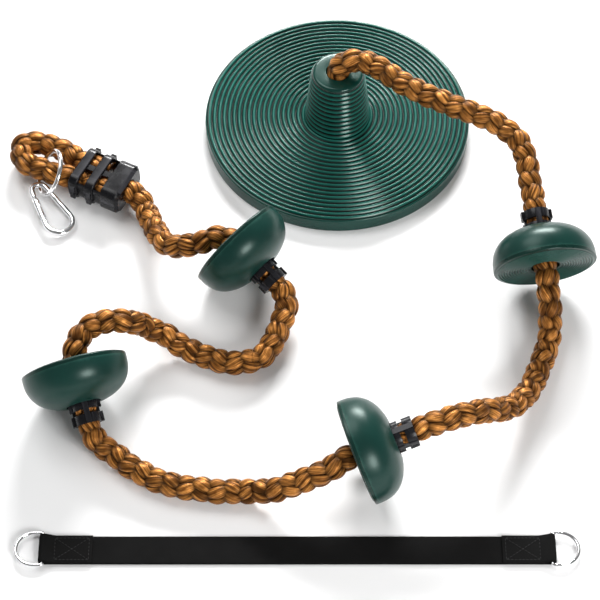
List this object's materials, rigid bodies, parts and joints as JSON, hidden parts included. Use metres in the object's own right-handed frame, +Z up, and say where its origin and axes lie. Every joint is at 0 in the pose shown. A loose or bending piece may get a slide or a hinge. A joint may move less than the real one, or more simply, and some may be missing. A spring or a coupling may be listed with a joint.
{
  "type": "rope climbing swing",
  "caption": "Climbing rope swing laid out on the ground: round ridged seat, domed foot platforms clipped to a braided rope, looped end with ring and carabiner, and a separate hanging strap.",
  "frame": {"origin": "the seat's axis at the ground, on the plane of the seat's foot ring", "axes": "+Z up along the seat's hub; the hanging strap lies along X; +Y points from the strap to the seat"},
  "size_m": [0.6462, 0.7265, 0.1312],
  "materials": {
    "rope": "braided golden brown",
    "green_plastic": "moulded dark green, satin gloss",
    "black_plastic": "moulded black",
    "chrome": "plated, polished",
    "washer_steel": "zinc plated",
    "spring_steel": "bright wire",
    "webbing": "black woven webbing"
  },
  "bodies": {
    "rope_foot": {"rope_at_seat": "rope", "hub_washer": "washer_steel", "seat_clip_front": "black_plastic", "seat_clip_back": "black_plastic"},
    "seat": {"seat_disc": "green_plastic"},
    "line_1": {"rope_at_platform_1": "rope", "clip_1_front": "black_plastic", "clip_1_back": "black_plastic"},
    "line_2": {"rope_at_platform_2": "rope", "clip_2_front": "black_plastic", "clip_2_back": "black_plastic"},
    "line_3": {"rope_between_2_and_3": "rope"},
    "line_4": {"rope_at_platform_3": "rope", "clip_3_front": "black_plastic", "clip_3_back": "black_plastic"},
    "line_5": {"rope_between_3_and_4": "rope"},
    "line_6": {"rope_at_platform_4": "rope", "clip_4_front": "black_plastic", "clip_4_back": "black_plastic"},
    "line_7": {"rope_loop": "rope", "end_clamp_top": "black_plastic", "end_clamp_bottom": "black_plastic"},
    "ring": {"hanging_ring": "chrome"},
    "carabiner": {"carabiner_body": "chrome"},
    "gate": {"carabiner_gate": "chrome", "carabiner_gate_pin": "chrome", "carabiner_latch_pin": "chrome", "carabiner_gate_spring": "spring_steel"},
    "strap_left": {"strap_webbing_left": "webbing"},
    "strap_right": {"strap_webbing_right": "webbing"},
    "d_ring_left": {"d_ring_left": "chrome"},
    "d_ring_right": {"d_ring_right": "chrome"},
    "platform_1": {"platform_1_dome": "green_plastic", "platform_1_tread": "green_plastic"},
    "platform_2": {"platform_2_dome": "green_plastic", "platform_2_tread": "green_plastic"},
    "platform_3": {"platform_3_dome": "green_plastic", "platform_3_tread": "green_plastic"},
    "platform_4": {"platform_4_dome": "green_plastic", "platform_4_tread": "green_plastic"}
  },
  "joints": [
    {"name": "seat_spin", "type": "hinge", "parent": "rope_foot", "child": "seat", "pos_m": [0, 0, 0.05], "axis": [0, 0, 1], "continuous": true},
    {"name": "rope_bend_1", "type": "hinge", "parent": "rope_foot", "child": "line_1", "pos_m": [0.2051, -0.13901, 0.08785], "axis": [-0.9848, 0.1736, 0], "range_deg": [0, 40]},
    {"name": "rope_bend_2", "type": "hinge", "parent": "line_1", "child": "line_2", "pos_m": [0.2115, -0.3415, 0.0165], "axis": [-0.8192, 0.5736, 0], "range_deg": [0, 45]},
    {"name": "rope_bend_3", "type": "hinge", "parent": "line_2", "child": "line_3", "pos_m": [-0.04, -0.497, 0.039], "axis": [-0.1564, 0.9877, 0], "range_deg": [0, 45]},
    {"name": "rope_turn_1", "type": "hinge", "parent": "line_3", "child": "line_4", "pos_m": [-0.1425, -0.4915, 0.013], "axis": [0, 0, 1], "range_deg": [0, 35]},
    {"name": "rope_turn_2", "type": "hinge", "parent": "line_4", "child": "line_5", "pos_m": [-0.1435, -0.328, 0.0155], "axis": [0, 0, 1], "range_deg": [-5, 30]},
    {"name": "rope_bend_4", "type": "hinge", "parent": "line_5", "child": "line_6", "pos_m": [-0.0645, -0.295, 0.02], "axis": [0.9336, -0.3584, 0], "range_deg": [0, 45]},
    {"name": "rope_bend_5", "type": "hinge", "parent": "line_6", "child": "line_7", "pos_m": [-0.204, -0.16, 0.0255], "axis": [0.9455, 0.3256, 0], "range_deg": [0, 50]},
    {"name": "ring_swing", "type": "hinge", "parent": "line_7", "child": "ring", "pos_m": [-0.33138, -0.08105, 0.01942], "axis": [-0.2908, -0.7106, -0.6407], "range_deg": [0, 45]},
    {"name": "carabiner_swing", "type": "hinge", "parent": "ring", "child": "carabiner", "pos_m": [-0.33186, -0.10632, 0.00852], "axis": [-0.275, 0.252, -0.9279], "range_deg": [-20, 90]},
    {"name": "gate_hinge", "type": "hinge", "parent": "carabiner", "child": "gate", "pos_m": [-0.33645, -0.1156, 0.01112], "axis": [0.1263, -0.0528, 0.9906], "range_deg": [0, 28], "stiffness_Nm_per_rad": 0.02},
    {"name": "strap_lift", "type": "slide", "parent": "rope_foot", "child": "strap_left", "axis": [0, 0, 1], "range_m": [0, 0.25]},
    {"name": "strap_fold", "type": "hinge", "parent": "strap_left", "child": "strap_right", "pos_m": [-0.045, -0.556, 0.0024], "axis": [0, -1, 0], "range_deg": [0, 150]},
    {"name": "d_ring_left_pivot", "type": "hinge", "parent": "strap_left", "child": "d_ring_left", "pos_m": [-0.30165, -0.556, 0.00435], "axis": [0, 1, 0], "range_deg": [0, 150]},
    {"name": "d_ring_right_pivot", "type": "hinge", "parent": "strap_right", "child": "d_ring_right", "pos_m": [0.21165, -0.556, 0.00435], "axis": [0, -1, 0], "range_deg": [0, 150]},
    {"name": "platform_1_spin", "type": "hinge", "parent": "line_1", "child": "platform_1", "pos_m": [0.2195, -0.2415, 0.057], "axis": [0.1334, -0.949, -0.2857], "continuous": true},
    {"name": "platform_2_spin", "type": "hinge", "parent": "line_2", "child": "platform_2", "pos_m": [0.0146, -0.476, 0.058], "axis": [-0.9306, -0.2669, -0.2504], "continuous": true},
    {"name": "platform_3_spin", "type": "hinge", "parent": "line_4", "child": "platform_3", "pos_m": [-0.2768, -0.3685, 0.057], "axis": [-0.2691, 0.8639, 0.4258], "continuous": true},
    {"name": "platform_4_spin", "type": "hinge", "parent": "line_6", "child": "platform_4", "pos_m": [-0.112, -0.2076, 0.057], "axis": [-0.6926, 0.6369, 0.3387], "continuous": true}
  ]
}
